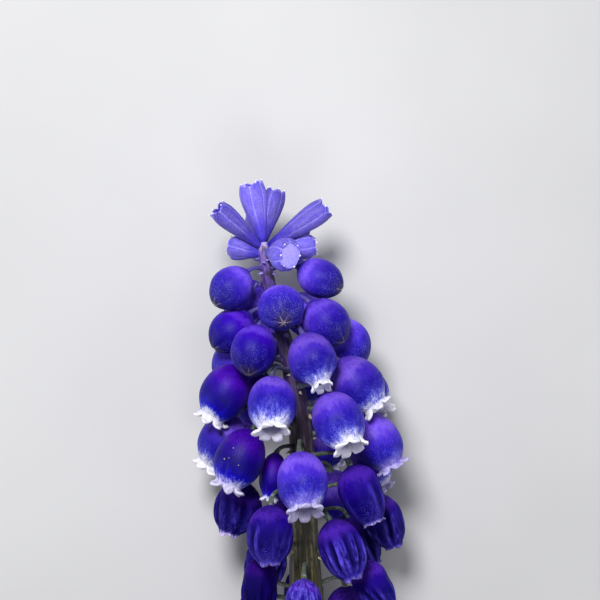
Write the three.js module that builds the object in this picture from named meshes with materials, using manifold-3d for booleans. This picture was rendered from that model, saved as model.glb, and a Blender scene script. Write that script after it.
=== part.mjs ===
// A picked grape hyacinth (Muscari), lying on its side on a level surface, in millimetres.
// +Y runs along the stalk towards the tip, +Z is up, and the surface is z = 0.
// The flower is built round a stalk that runs along y, and moved at the end so that the origin is
// below the middle of the whole flower. Three bodies:
//   scape         the bare green stalk, from its cut end to the lowest floret
//   raceme        the rest of the stalk with the fertile florets grown on it, from closed buds near the
//                 tip to faded bells at the bottom, each on its own short stalk
//   sterile_tuft  the narrow pale florets that crown the spike
import * as THREE from "three";
import { mergeVertices } from "three/addons/utils/BufferGeometryUtils.js";
import Module from "manifold-3d";

const wasm = await Module();
wasm.setup();

// ---- driving dimensions, in millimetres and degrees ----
const lyingHeight = 8.0; // the stalk's centre above the surface, along the spike
const clearance = 0.3; // air left between two of the bodies
const flatSpot = 0.1; // how much the surface flattens what is pressed on it
const scapeEnd = -9; // where the bare stalk ends and the spike begins
const crownStart = 30.6; // where the spike ends and the tuft begins
const stalkSides = 14;
const stalkStep = 4.2; // from one ring of the stalk's skin to the next
const lobes = 6; // of every floret; its skin has two sides for each

// The stalk's centreline and its radius there: x, y, z, radius.
const stalkLine = [
  [2.6, -50, 1.6, 1.66],
  [2.5, -38, 3.1, 1.66],
  [2.0, -24, 5.6, 1.68],
  [1.3, -10, 7.6, 1.66],
  [0.6, 0, lyingHeight, 1.5],
  [0.3, 7.2, lyingHeight, 1.26],
  [0.1, 14.4, lyingHeight, 1.08],
  [-0.45, 18.9, lyingHeight, 0.88],
  [-1.25, 23.0, lyingHeight, 0.7],
  [-2.25, 26.3, lyingHeight, 0.6],
  [-3.1, 30.3, lyingHeight, 0.55],
  [-3.3, 32.2, lyingHeight, 0.5],
];

// The spiral that the florets follow, counted down from the buds near the tip.
const firstFloret = -3;
const lastFloret = 38;
const squeezedIn = [19.5, 25.5]; // two more that grew between their neighbours
const goldenTurn = 137.5; // round the stalk, from one floret to the next below
const startTurn = 8; // floret 0's place round the stalk, from straight up towards +X
const startHeight = 26.3; // floret 0's centre, along the stalk
const firstOpen = 8; // florets above this one are still closed buds
const firstFaded = 23; // florets from this one down have faded and folded

// Where a floret sits and how it hangs, by its number n in the spiral. turn is its place round the
// stalk, height its centre along the stalk, reach its centre's distance from the stalk's centreline,
// facing the way round the stalk that its mouth points, and nod how far the mouth dips towards the cut
// end from pointing straight out.
function floretRule(n) {
  const turn = startTurn + goldenTurn * n;
  const shrunk = Math.max(0, n - 28);
  const bud = n < firstOpen;
  return {
    turn,
    height: startHeight - 0.66 * n - 0.0045 * n * n,
    reach: Math.max(3.9, 4.2 + 2.7 * (1 - Math.exp(-n / 6))) - 0.15 * shrunk,
    facing: turn,
    nod: THREE.MathUtils.clamp(40 + 1.6 * n, 34, 82),
    length: bud ? 4.8 + 0.06 * n : 5.8,
    width: bud ? 4.0 + 0.03 * n : 4.4 - 0.03 * shrunk,
  };
}

// The florets that grew a little off the rule.
const strays = {
  "-3": { turn: -60, height: 28.1, reach: 4.0, facing: -62, nod: 42, length: 4.5, width: 3.7 },
  "-2": { turn: 75, height: 28.9, reach: 4.8, facing: 77, nod: 28, length: 4.6, width: 3.6 },
  "-1": { turn: -138, height: 26.9, reach: 4.0 },
  0: { facing: 9, nod: 37, length: 4.5, width: 4.1 },
  2: { height: 24.2, reach: 4.6, facing: -72, nod: 45, length: 4.7 },
  3: { turn: 55, height: 25.0, reach: 5.1, facing: 65, nod: 48, length: 4.9, width: 4.1 },
  5: { turn: -33, height: 22.6, reach: 5.3, facing: -18, nod: 58, length: 5.0, width: 4.1 },
  6: { turn: 94, height: 23.2, reach: 5.6, facing: 95, nod: 50, length: 5.0, width: 4.1 },
  7: { turn: -111, height: 21.3, reach: 5.4 },
  8: { turn: 21, height: 21.6, reach: 5.8, facing: 36, nod: 58, length: 5.6, width: 4.3 },
  10: { turn: -78, height: 18.6, reach: 6.5, facing: -95, nod: 60 },
  11: { turn: 67, height: 19.4, reach: 6.2, facing: 80, nod: 50, length: 5.9, width: 4.5 },
  13: { turn: -19, height: 17.85, reach: 6.5, facing: 3, nod: 58, length: 5.6, width: 4.3 },
  14: { turn: 107, height: 18.7, reach: 6.7, facing: 100, nod: 52, length: 5.7, width: 4.3 },
  15: { turn: -99, height: 14.1, reach: 7.4, facing: -112, nod: 60, length: 5.7, width: 4.3 },
  16: { turn: 31, height: 16.4, reach: 6.7, facing: 42, nod: 54, width: 4.5 },
  17: { turn: 159, height: 13.6, reach: 5.6, facing: 164, nod: 60, length: 5.6, width: 4.2 },
  18: { turn: -57, height: 12.9, reach: 6.6, facing: -75, nod: 65, length: 6.0, width: 4.3 },
  19: { turn: 80, height: 14.2, reach: 6.95, facing: 88, nod: 60, width: 4.4 },
  19.5: { turn: 111, height: 11.9, reach: 6.8, facing: 110, nod: 62, length: 5.6, width: 3.7 },
  20: { turn: -60, height: 11.2, reach: 3.1, facing: -60, nod: 80, length: 4.5, width: 2.5 },
  21: { turn: 0, height: 11.2, reach: 6.9, facing: 10, nod: 60, length: 5.9, width: 4.5 },
  22: { turn: 150, height: 8.5, reach: 6.3, facing: 148, nod: 70, length: 5.6, width: 4.2 },
  23: { turn: -95, height: 8.05, reach: 6.0, facing: -88, nod: 72, length: 5.3, width: 4.2 },
  24: { turn: 52, height: 9.8, reach: 6.7, facing: 80, nod: 68, length: 5.9, width: 4.1 },
  25: { turn: -166, height: 6.6, reach: 6.2, nod: 78, length: 5.4, width: 3.9 },
  25.5: { turn: 96, height: 6.86, reach: 7.4, facing: 96, nod: 68, length: 5.6, width: 3.4 },
  26: { turn: -26, height: 6.5, reach: 6.7, facing: -5, nod: 78, length: 5.6, width: 3.9 },
  27: { turn: 124, height: 4.7, reach: 6.4, facing: 112, nod: 62, length: 5.6, width: 3.4 },
  28: { turn: -143, height: 2.35, reach: 6.2, nod: 78, length: 5.2, width: 3.8 },
  29: { turn: 31, height: 5.2, reach: 6.5, facing: 62, nod: 64, length: 5.9, width: 3.9 },
  30: { turn: -176, height: -0.6, reach: 5.6, facing: 180, nod: 75, length: 5.6, width: 3.6 },
  31: { turn: -50, height: 1.6, reach: 5.3, facing: -60, nod: 84, length: 5.9, width: 3.2 },
  32: { turn: 68, height: 1.3, reach: 6.6, facing: 78, nod: 62, length: 5.9, width: 3.5 },
  33: { turn: -126, height: -2.4, reach: 6.0, length: 5.5, width: 3.9 },
  34: { turn: -3, height: 0.1, reach: 6.3, facing: -4, nod: 70, width: 3.4 },
  38: { turn: -154, height: -5.7, length: 5.0, width: 3.4 },
};

// Skins of the florets, each a list of [share of the length, share of the half width] from the root to
// the rim, then down the inside. A pair in place of a number is [on a lobe, between two lobes].
const closedBud = {
  outside: [[0.04, 0.4], [0.22, 0.84], [0.5, 1], [0.76, [0.86, 0.82]], [0.93, [0.52, 0.44]]],
  bottom: 1,
};
const openBell = {
  outside: [[0.04, 0.42], [0.2, 0.83], [0.44, 1], [0.7, 0.9], [0.88, 0.66]],
  rim: [[1, 0.93], [0.82, 0.62]],
  inside: [[0.86, 0.48]],
  bottom: 0.5,
};
const fadedBell = {
  outside: [[0.04, 0.42], [0.22, [0.9, 0.82]], [0.5, [1, 0.86]], [0.76, [0.86, 0.68]], [0.9, [0.5, 0.4]]],
  rim: [[1, 0.95], [0.52, 0.34]],
  inside: [],
  bottom: 0.86,
};
const sterileTube = {
  outside: [[0.03, 0.3], [0.3, 0.6], [0.62, 0.95], [0.86, [1, 0.92]]],
  rim: [[1, 0.93], [0.98, 0.82]],
  inside: [[0.84, 0.6]],
  bottom: 0.45,
};

// The tuft's florets: root x, y and height over the stalk, mouth x, y and height, and width.
const tuftLine = [
  [-3.4, 31.7, 0.1, -7.7, 35.4, 1.2, 2.2],
  [-3.3, 32.2, 0.2, -4.5, 37.8, 0.9, 2.5],
  [-3.2, 32.2, -0.1, -2.1, 37.2, -0.4, 2.1],
  [-2.9, 31.8, 0.1, 2.8, 35.6, 0.6, 2.4],
  [-3.4, 31.1, -0.1, -6.6, 32.0, -0.9, 2.3],
  [-2.9, 31.3, 0.3, -0.7, 30.9, 3.9, 2.9],
  [-2.8, 31.3, -0.1, 1.8, 31.9, -0.5, 2.1],
  [-3.0, 31.2, -0.2, 0.2, 30.8, -2.0, 1.9],
  [-3.2, 31.6, -0.4, -4.3, 34.9, -3.2, 2.0],
  [-3.0, 31.6, -0.4, 0.8, 33.2, -2.8, 2.0],
  [-3.3, 31.2, -0.4, -3.9, 31.8, -4.6, 2.1],
];

const up = new THREE.Vector3(0, 0, 1);
const along = new THREE.Vector3(0, 1, 0);
const tuftUpper = new THREE.Vector3(0.3, 0.4, 1); // square enough to every tuft floret
const radians = THREE.MathUtils.degToRad;

// ---- skins ----

// Rings of points one after another, closed by a point at either end, as a manifold solid.
function skin(first, rings, last) {
  const sides = rings[0].length;
  const points = [first, ...rings.flat(), last];
  const at = (r, s) => 1 + r * sides + (s % sides);
  const faces = [];
  for (let s = 0; s < sides; s++) {
    faces.push(0, at(0, s + 1), at(0, s));
    for (let r = 0; r + 1 < rings.length; r++) {
      faces.push(at(r, s), at(r, s + 1), at(r + 1, s + 1));
      faces.push(at(r, s), at(r + 1, s + 1), at(r + 1, s));
    }
    faces.push(at(rings.length - 1, s), at(rings.length - 1, s + 1), points.length - 1);
  }
  const vertProperties = new Float32Array(points.flatMap((p) => p.toArray()));
  return new wasm.Manifold(new wasm.Mesh({ numProp: 3, vertProperties, triVerts: new Uint32Array(faces) }));
}

// A ring of points round a centre, square to a direction. radiusAt(side) may differ from side to side.
function ring(centre, direction, start, sides, radiusAt) {
  const a = start.clone().addScaledVector(direction, -start.dot(direction)).normalize();
  const b = direction.clone().cross(a);
  return Array.from({ length: sides }, (_, side) => {
    const angle = (2 * Math.PI * side) / sides;
    const point = centre.clone().addScaledVector(a, radiusAt(side) * Math.cos(angle));
    return point.addScaledVector(b, radiusAt(side) * Math.sin(angle));
  });
}

// A tube through stations of { at, towards, radius }, with flat ends.
function tube(stations, start, sides) {
  const rings = stations.map((s) => ring(s.at, s.towards, start, sides, () => s.radius));
  return skin(stations[0].at, rings, stations.at(-1).at);
}

// One floret's skin, standing on its root and opening along its axis.
function floretSkin(profile, root, axis, upper, length, halfWidth) {
  const sides = 2 * lobes;
  const share = (value, side) => halfWidth * (Array.isArray(value) ? value[side % 2] : value);
  const centreAt = (t) => root.clone().addScaledVector(axis, t * length);
  const ringAt = (t, value) => ring(centreAt(t), axis, upper, sides, (side) => share(value, side));
  const rings = profile.outside.map(([t, value]) => ringAt(t, value));
  if (profile.rim) {
    const [ends, widths] = profile.rim;
    rings.push(ringAt(0, widths).map((p, side) => p.addScaledVector(axis, ends[side % 2] * length)));
    rings.push(...profile.inside.map(([t, value]) => ringAt(t, value)));
  }
  return skin(root, rings, centreAt(profile.bottom));
}

// ---- the stalk ----

const stalkCurve = new THREE.CatmullRomCurve3(stalkLine.map(([x, y, z]) => new THREE.Vector3(x, y, z)));
const stalkPoints = stalkCurve.getPoints(600);

// The stalk's centre, direction and radius at a height along it.
function stalkAt(y) {
  const next = THREE.MathUtils.clamp(stalkPoints.findIndex((p) => p.y >= y), 1, stalkPoints.length - 1);
  const [a, b] = [stalkPoints[next - 1], stalkPoints[next]];
  const row = Math.max(1, stalkLine.findIndex((p) => p[1] >= y));
  const [low, high] = [stalkLine[row - 1], stalkLine[row]];
  return {
    at: a.clone().lerp(b, (y - a.y) / (b.y - a.y)),
    towards: b.clone().sub(a).normalize(),
    radius: THREE.MathUtils.mapLinear(y, low[1], high[1], low[3], high[3]),
  };
}

function stalkPiece(from, to, sides = stalkSides) {
  const steps = Math.ceil((to - from) / stalkStep);
  const stations = Array.from({ length: steps + 1 }, (_, i) => stalkAt(from + ((to - from) * i) / steps));
  return tube(stations, up, sides);
}

// ---- the florets ----

function roundStalk(degrees) {
  return new THREE.Vector3(Math.sin(radians(degrees)), 0, Math.cos(radians(degrees)));
}

function floretPlace(n) {
  const place = { n, ...floretRule(n), ...strays[n] };
  const nod = radians(place.nod);
  const axis = roundStalk(place.facing).multiplyScalar(Math.cos(nod)).addScaledVector(along, -Math.sin(nod));
  const centre = stalkAt(place.height).at.addScaledVector(roundStalk(place.turn), place.reach);
  const root = centre.addScaledVector(axis, -place.length / 2);
  return { ...place, axis, root };
}

function floretSolid(f) {
  const profile = f.n < firstOpen ? closedBud : f.n < firstFaded ? openBell : fadedBell;
  return floretSkin(profile, f.root, f.axis, roundStalk(f.turn), f.length, f.width / 2);
}

// The surface presses what would lie below it up against the stalk.
function settled(f) {
  const dip = -flatSpot - floretSolid(f).boundingBox().min[2];
  f.root.addScaledVector(up, Math.max(0, dip));
  return f;
}

// A floret's own stalk leaves the main one a little above the bell, and bends over into the bell's root.
function pedicel(f) {
  const rise = 0.4; // of its foot above the bell's root, along the stalk
  const sunk = 0.25; // into the bell
  const thickness = [0.42, 0.32, 0.32, 0.42]; // its radius from foot to bell
  const end = f.root.clone().addScaledVector(f.axis, sunk);
  const foot = stalkAt(Math.min(f.root.y + rise, crownStart - 0.8)).at;
  const span = foot.distanceTo(end);
  const curve = new THREE.CubicBezierCurve3(
    foot,
    foot.clone().addScaledVector(end.clone().sub(foot).setY(0.1 * span).normalize(), 0.45 * span),
    end.clone().addScaledVector(f.axis, -0.4 * span),
    end,
  );
  const stations = thickness.map((radius, i) => {
    const t = i / (thickness.length - 1);
    return { at: curve.getPoint(t), towards: curve.getTangent(t), radius };
  });
  return tube(stations, along, 5);
}

// ---- the three bodies ----

const surface = skin(
  new THREE.Vector3(0, 0, -40),
  [-40, 0].map((z) => ring(new THREE.Vector3(0, 0, z), up, along, 4, () => 200)),
  new THREE.Vector3(0, 0, 0),
);

function joined(solids) {
  return solids.reduce((all, solid) => all.add(solid)).subtract(surface);
}

const numbers = [...squeezedIn];
for (let n = firstFloret; n <= lastFloret; n++) numbers.push(n);
const florets = numbers.map((n) => settled(floretPlace(n)));

const scape = joined([stalkPiece(stalkLine[0][1], scapeEnd - clearance)]);
const raceme = joined([
  stalkPiece(scapeEnd, crownStart - clearance),
  ...florets.map(pedicel),
  ...florets.map(floretSolid),
]);

function tuftSolid([x, y, lift, mouthX, mouthY, mouthLift, width]) {
  const root = new THREE.Vector3(x, y, lyingHeight + lift);
  const mouth = new THREE.Vector3(mouthX, mouthY, lyingHeight + mouthLift);
  const axis = mouth.clone().sub(root).normalize();
  return floretSkin(sterileTube, root, axis, tuftUpper, root.distanceTo(mouth), width / 2);
}

const crown = stalkPiece(crownStart, stalkLine.at(-1)[1], 8);
const tuft = joined([crown, ...tuftLine.map(tuftSolid)]);

// ---- the flower ----

function named(solid, name, colour, roughness) {
  const { vertProperties, triVerts } = solid.getMesh();
  const geometry = new THREE.BufferGeometry();
  geometry.setAttribute("position", new THREE.BufferAttribute(vertProperties, 3));
  geometry.setIndex(new THREE.BufferAttribute(triVerts, 1));
  const material = new THREE.MeshStandardMaterial({ color: colour, roughness, metalness: 0 });
  const node = new THREE.Mesh(mergeVertices(geometry), material);
  node.name = name;
  return node;
}

const flower = new THREE.Group();
flower.add(named(scape, "scape", 0x5f6341, 0.6));
flower.add(named(raceme, "raceme", 0x4a32c0, 0.5));
flower.add(named(tuft, "sterile_tuft", 0x8a7be6, 0.5));

const box = new THREE.Box3().setFromObject(flower);
const middle = box.getCenter(new THREE.Vector3());
flower.position.set(-middle.x, -middle.y, -box.min.z);

export default flower;
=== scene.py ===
# A picked grape hyacinth lying on its side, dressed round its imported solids.
# The frame is in metres, +Y towards the tip and +Z up; the dictionaries hold millimetres and degrees.
import random
from math import cos, exp, pi, radians, sin, sqrt
import bpy
import numpy as np
from mathutils import Matrix, Vector


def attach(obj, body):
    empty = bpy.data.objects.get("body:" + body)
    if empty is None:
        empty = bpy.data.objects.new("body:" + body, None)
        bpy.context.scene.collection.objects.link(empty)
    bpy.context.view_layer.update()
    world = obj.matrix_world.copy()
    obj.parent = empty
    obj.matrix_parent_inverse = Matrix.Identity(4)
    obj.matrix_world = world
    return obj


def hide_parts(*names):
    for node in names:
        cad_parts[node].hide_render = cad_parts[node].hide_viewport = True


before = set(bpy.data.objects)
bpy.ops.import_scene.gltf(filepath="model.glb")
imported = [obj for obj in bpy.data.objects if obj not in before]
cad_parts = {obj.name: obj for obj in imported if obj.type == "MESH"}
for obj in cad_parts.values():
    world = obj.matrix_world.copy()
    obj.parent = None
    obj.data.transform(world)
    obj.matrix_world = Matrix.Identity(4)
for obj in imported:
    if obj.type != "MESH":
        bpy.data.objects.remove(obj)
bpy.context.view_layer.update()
mm = 0.001

flower = {
    "middle": (-0.0542, -6.0659),  # the flower's middle, in the stalk's own x and y
    "lyingHeight": 8,  # of the stalk's centre over the surface, along the spike
    "flatSpot": 0.1,  # how far the surface flattens what is pressed on it
    "floorGap": 0.01,  # between the lowest points and the surface
    "stalkLine": (  # the stalk's centre and radius: x, y, z, radius
        (2.6, -50, 1.6, 1.66), (2.5, -38, 3.1, 1.66), (2, -24, 5.6, 1.68), (1.3, -10, 7.6, 1.66),
        (0.6, 0, 8, 1.5), (0.3, 7.2, 8, 1.26), (0.1, 14.4, 8, 1.08), (-0.45, 18.9, 8, 0.88),
        (-1.25, 23, 8, 0.7), (-2.25, 26.3, 8, 0.6), (-3.1, 30.3, 8, 0.55), (-3.3, 32.2, 8, 0.5)),
}

# Florets are numbered down the spike, from the tip.
spiral = {
    "first": -3, "last": 38, "squeezedIn": (19.5, 25.5),
    "firstOpen": 8,  # florets above this one are closed buds
    "firstFaded": 23,  # florets from this one down have faded and folded
    "firstSmall": 28,  # from here down they shrink
    "goldenTurn": 137.5, "startTurn": 8,
    "startHeight": 26.3, "drop": 0.66, "fasterDrop": 0.0045,
    "reach": 4.2, "spread": 2.7, "spreadOver": 6, "leastReach": 3.9, "shrinkingReach": 0.15,
    "nod": 40, "nodGrowth": 1.6, "leastNod": 34, "mostNod": 82,
    "budLength": (4.8, 0.06), "budWidth": (4, 0.03),  # of floret 0, and the growth per floret
    "openLength": 5.8, "openWidth": 4.4, "shrinkingWidth": 0.03,
    "seed": 977,
}


def floretKind(n):
    return "bud" if n < spiral["firstOpen"] else "bell" if n < spiral["firstFaded"] else "faded"


def floretRule(n):
    # turn: place round the stalk; facing: where the mouth points; nod: its dip towards the cut end
    turn = spiral["startTurn"] + spiral["goldenTurn"] * n
    shrunk = max(0, n - spiral["firstSmall"])
    reach = spiral["reach"] + spiral["spread"] * (1 - exp(-n / spiral["spreadOver"]))
    length, width = spiral["openLength"], spiral["openWidth"] - spiral["shrinkingWidth"] * shrunk
    if floretKind(n) == "bud":
        length, width = (start + growth * n for start, growth in (spiral["budLength"], spiral["budWidth"]))
    return {
        "turn": turn, "facing": turn, "length": length, "width": width,
        "height": spiral["startHeight"] - spiral["drop"] * n - spiral["fasterDrop"] * n * n,
        "reach": max(spiral["leastReach"], reach) - spiral["shrinkingReach"] * shrunk,
        "nod": min(spiral["mostNod"], max(spiral["leastNod"], spiral["nod"] + spiral["nodGrowth"] * n)),
    }


# The florets that grew a little off the rule; None, or nothing at the end, where the rule still holds.
strayMeasures = ("turn", "height", "reach", "facing", "nod", "length", "width")
strays = {
    -3: (-60, 28.1, 4, -62, 42, 4.5, 3.7), -2: (75, 28.9, 4.8, 77, 28, 4.6, 3.6), -1: (-138, 26.9, 4),
    0: (None, None, None, 9, 37, 4.5, 4.1), 2: (None, 24.2, 4.6, -72, 45, 4.7),
    3: (55, 25, 5.1, 65, 48, 4.9, 4.1), 5: (-33, 22.6, 5.3, -18, 58, 5, 4.1),
    6: (94, 23.2, 5.6, 95, 50, 5, 4.1), 7: (-111, 21.3, 5.4), 8: (21, 21.6, 5.8, 36, 58, 5.6, 4.3),
    10: (-78, 18.6, 6.5, -95, 60), 11: (67, 19.4, 6.2, 80, 50, 5.9, 4.5),
    13: (-19, 17.85, 6.5, 3, 58, 5.6, 4.3), 14: (107, 18.7, 6.7, 100, 52, 5.7, 4.3),
    15: (-99, 14.1, 7.4, -112, 60, 5.7, 4.3), 16: (31, 16.4, 6.7, 42, 54, None, 4.5),
    17: (159, 13.6, 5.6, 164, 60, 5.6, 4.2), 18: (-57, 12.9, 6.6, -75, 65, 6, 4.3),
    19: (80, 14.2, 6.95, 88, 60, None, 4.4), 19.5: (111, 11.9, 6.8, 110, 62, 5.6, 3.7),
    20: (-60, 11.2, 3.1, -60, 80, 4.5, 2.5), 21: (0, 11.2, 6.9, 10, 60, 5.9, 4.5),
    22: (150, 8.5, 6.3, 148, 70, 5.6, 4.2), 23: (-95, 8.05, 6, -88, 72, 5.3, 4.2),
    24: (52, 9.8, 6.7, 80, 68, 5.9, 4.1), 25: (-166, 6.6, 6.2, None, 78, 5.4, 3.9),
    25.5: (96, 6.86, 7.4, 96, 68, 5.6, 3.4), 26: (-26, 6.5, 6.7, -5, 78, 5.6, 3.9),
    27: (124, 4.7, 6.4, 112, 62, 5.6, 3.4), 28: (-143, 2.35, 6.2, None, 78, 5.2, 3.8),
    29: (31, 5.2, 6.5, 62, 64, 5.9, 3.9), 30: (-176, -0.6, 5.6, 180, 75, 5.6, 3.6),
    31: (-50, 1.6, 5.3, -60, 84, 5.9, 3.2), 32: (68, 1.3, 6.6, 78, 62, 5.9, 3.5),
    33: (-126, -2.4, 6, None, None, 5.5, 3.9), 34: (-3, 0.1, 6.3, -4, 70, None, 3.4),
    38: (-154, -5.7, None, None, None, 5, 3.4),
}

# What one floret has of its own. narrow: how far its mouth is drawn in; lobes: their size; late: how far its
# white starts further down; tone: below 0 darker, partly its own tone and partly painted shade; white: of the
# rim; furrows: how much deeper they are.
own = {
    -2: dict(tone=-0.8), 0: dict(tone=0.6), 2: dict(tone=-2.2), 3: dict(tone=-1.6), 5: dict(tone=-2),
    8: dict(narrow=0.3, lobes=0.8, late=0.06, tone=-1.2),
    10: dict(late=0.02, tone=-3.4),
    11: dict(narrow=0.08, late=0.02, tone=-1.2),
    12: dict(white=0, late=0.2, tone=-3),
    15: dict(tone=-1.4), 16: dict(late=0.03),
    18: dict(white=0.7, late=0, tone=-4),
    19: dict(white=0.3, lobes=0.7, late=0.08),
    19.5: dict(white=0.35, narrow=0.15, lobes=0.6),
    20: dict(white=0.8, narrow=0.1, lobes=0.6, late=0.06, tone=-3.2),
    21: dict(white=0.5, furrows=1.1, late=0.08, tone=0.3),
    22: dict(white=0.6, tone=-1.5),
    23: dict(faded=0.12, white=1, lobes=1.3),
    24: dict(faded=0.45, white=0.6), 25: dict(faded=0.5, white=0.3), 25.5: dict(faded=0.8),
    26: dict(faded=0.6), 27: dict(faded=0.8), 29: dict(faded=0.5),
    31: dict(faded=1.1, tone=-3.6), 32: dict(faded=1.1), 34: dict(white=1.6, tone=1.4),
}


def stalkCurve(samplesPerSpan=60):
    # a smooth line through the stalk's points, in fine steps
    p = np.array([row[:3] for row in flower["stalkLine"]], float)
    p = np.vstack([2 * p[0] - p[1], p, 2 * p[-1] - p[-2]])
    samples = []
    for i in range(1, len(p) - 2):
        before, here, after, beyond = p[i - 1:i + 3]
        g0, g1, g2 = (sqrt(np.linalg.norm(p[i + k + 1] - p[i + k])) for k in (-1, 0, 1))
        leaving = g1 * ((here - before) / g0 - (after - before) / (g0 + g1)) + after - here
        arriving = g1 * ((beyond - after) / g2 - (beyond - here) / (g1 + g2)) + after - here
        for t in np.linspace(0, 1, samplesPerSpan, endpoint=i == len(p) - 3):
            h = 2 * t ** 3 - 3 * t ** 2
            point = (h + 1) * here + (t ** 3 - 2 * t ** 2 + t) * leaving - h * after
            samples.append(point + (t ** 3 - t ** 2) * arriving)
    return np.array(samples)


stalkSamples = stalkCurve()


def stalkCentre(y):
    # the middle of the stalk at one height, or at each of many
    x, z = (np.interp(y, stalkSamples[:, 1], stalkSamples[:, axis]) for axis in (0, 2))
    return np.stack([x, y, z], -1)


def stalkAt(y):
    return Vector(stalkCentre(y))


def stalkRadius(y):
    _, ys, _, radii = zip(*flower["stalkLine"])
    return float(np.interp(y, ys, radii))


def roundStalk(degrees):
    return Vector((sin(radians(degrees)), 0, cos(radians(degrees))))


def toFrame(points):
    # from stalk measures in millimetres to the shared frame in metres
    return (np.asarray(points, float) - (*flower["middle"], 0)) * mm


def turnedTo(axis, side):
    # the turn that brings +Z to the axis and +X as near to the side as it goes
    side = (side - axis * side.dot(axis)).normalized()
    return Matrix((side, axis.cross(side), axis)).transposed()


def floretPlace(n):
    stray = {key: value for key, value in zip(strayMeasures, strays.get(n, ())) if value is not None}
    fading = {"faded": min(1, 0.35 + 0.1 * (n - 25)), "white": 0.2} if n > 25 else {}
    f = {"n": n, **floretRule(n), **stray, **fading, **own.get(n, {})}
    nod, out = radians(f["nod"]), roundStalk(f["turn"])
    axis = roundStalk(f["facing"]) * cos(nod) - Vector((0, 1, 0)) * sin(nod)
    root = stalkAt(f["height"]) + out * f["reach"] - axis * (f["length"] / 2)
    return {**f, "axis": axis, "root": root, "turned": turnedTo(axis, out),
            "kind": floretKind(n), "seed": int(n * 10) + spiral["seed"]}


# Each form has its sides, and its rings from the root to the rim and back down inside: share of the length,
# share of the half width, and how much of the lobes' shaping the ring takes, if any.
forms = {
    "bud": (24, (
        (0, 0.08), (0.02, 0.2), (0.06, 0.4), (0.12, 0.6), (0.2, 0.77), (0.3, 0.905), (0.41, 0.98),
        (0.52, 1), (0.62, 0.985), (0.71, 0.93), (0.79, 0.835, 0.1), (0.86, 0.69, 0.3), (0.915, 0.52, 0.6),
        (0.955, 0.35, 0.85), (0.982, 0.19, 1), (0.99, 0.07, 1))),
    "bell": (36, (
        (0, 0.09), (0.012, 0.2), (0.035, 0.35), (0.07, 0.5), (0.12, 0.65), (0.18, 0.775), (0.25, 0.87),
        (0.33, 0.945), (0.41, 0.985), (0.49, 1), (0.57, 0.99), (0.64, 0.95), (0.7, 0.89), (0.755, 0.8),
        (0.8, 0.71), (0.835, 0.635), (0.862, 0.58), (0.88, 0.545, 0.06), (0.9, 0.55, 0.2), (0.92, 0.56, 0.36),
        (0.94, 0.58, 0.52), (0.96, 0.6, 0.68), (0.98, 0.63, 0.84), (1, 0.67, 1), (0.999, 0.64, 1),
        (0.975, 0.57, 0.8), (0.95, 0.53, 0.6), (0.925, 0.49, 0.4), (0.9, 0.46, 0.2), (0.875, 0.45, 0.05),
        (0.84, 0.46), (0.79, 0.52), (0.72, 0.61), (0.63, 0.66), (0.54, 0.62), (0.47, 0.48), (0.43, 0.24))),
    "faded": (48, (
        (0, 0.09), (0.012, 0.2), (0.035, 0.36), (0.07, 0.53), (0.12, 0.7), (0.19, 0.84), (0.27, 0.935),
        (0.36, 0.99), (0.45, 1), (0.54, 0.985), (0.62, 0.95), (0.69, 0.895), (0.75, 0.82), (0.8, 0.73),
        (0.84, 0.63), (0.872, 0.53, 0.02), (0.895, 0.47, 0.15), (0.92, 0.42, 0.35), (0.945, 0.4, 0.6),
        (0.97, 0.4, 0.8), (1, 0.42, 1), (0.998, 0.38, 1), (0.97, 0.3, 0.75), (0.94, 0.23, 0.5),
        (0.915, 0.15, 0.25), (0.9, 0.07))),
    "sterile": (36, (
        (0, 0.1), (0.012, 0.2), (0.04, 0.27), (0.1, 0.33), (0.18, 0.41), (0.27, 0.52), (0.36, 0.64),
        (0.45, 0.76), (0.54, 0.87), (0.63, 0.95), (0.71, 0.995), (0.78, 1), (0.83, 0.97),
        (0.86, 0.93, 0.02), (0.885, 0.89, 0.2), (0.91, 0.87, 0.4), (0.94, 0.84, 0.6), (0.97, 0.82, 0.8),
        (1, 0.8, 1), (0.998, 0.76, 1), (0.97, 0.74, 0.8), (0.94, 0.75, 0.6), (0.91, 0.76, 0.4),
        (0.885, 0.77, 0.2), (0.86, 0.78, 0.02), (0.8, 0.75), (0.71, 0.66), (0.6, 0.48), (0.53, 0.24))),
}


def selectOnly(*objects):
    bpy.ops.object.select_all(action="DESELECT")
    for obj in objects:
        obj.select_set(True)
        bpy.context.view_layer.objects.active = objects[0]


def smoothOnce(obj):
    # one applied level of subdivision, and smooth shading
    selectOnly(obj)
    modifier = obj.modifiers.new("Subdivision", "SUBSURF")
    modifier.levels = modifier.render_levels = 1
    bpy.ops.object.modifier_apply(modifier=modifier.name)
    bpy.ops.object.shade_smooth()


def readPoints(obj):
    co = np.empty(len(obj.data.vertices) * 3, np.float32)
    obj.data.vertices.foreach_get("co", co)
    return co.reshape(-1, 3).astype(float)


def writePoints(obj, co):
    obj.data.vertices.foreach_set("co", np.asarray(co, np.float32).ravel())
    obj.data.update()


def writeMark(obj, name, values):
    values = np.asarray(values, np.float32)
    kind, field = ("FLOAT", "value") if values.ndim == 1 else ("FLOAT_VECTOR", "vector")
    mark = obj.data.attributes.get(name) or obj.data.attributes.new(name, kind, "POINT")
    mark.data.foreach_set(field, values.ravel())


def readMark(obj, name):
    values = np.empty(len(obj.data.vertices), np.float32)
    obj.data.attributes[name].data.foreach_get("value", values)
    return values.astype(float)


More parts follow.
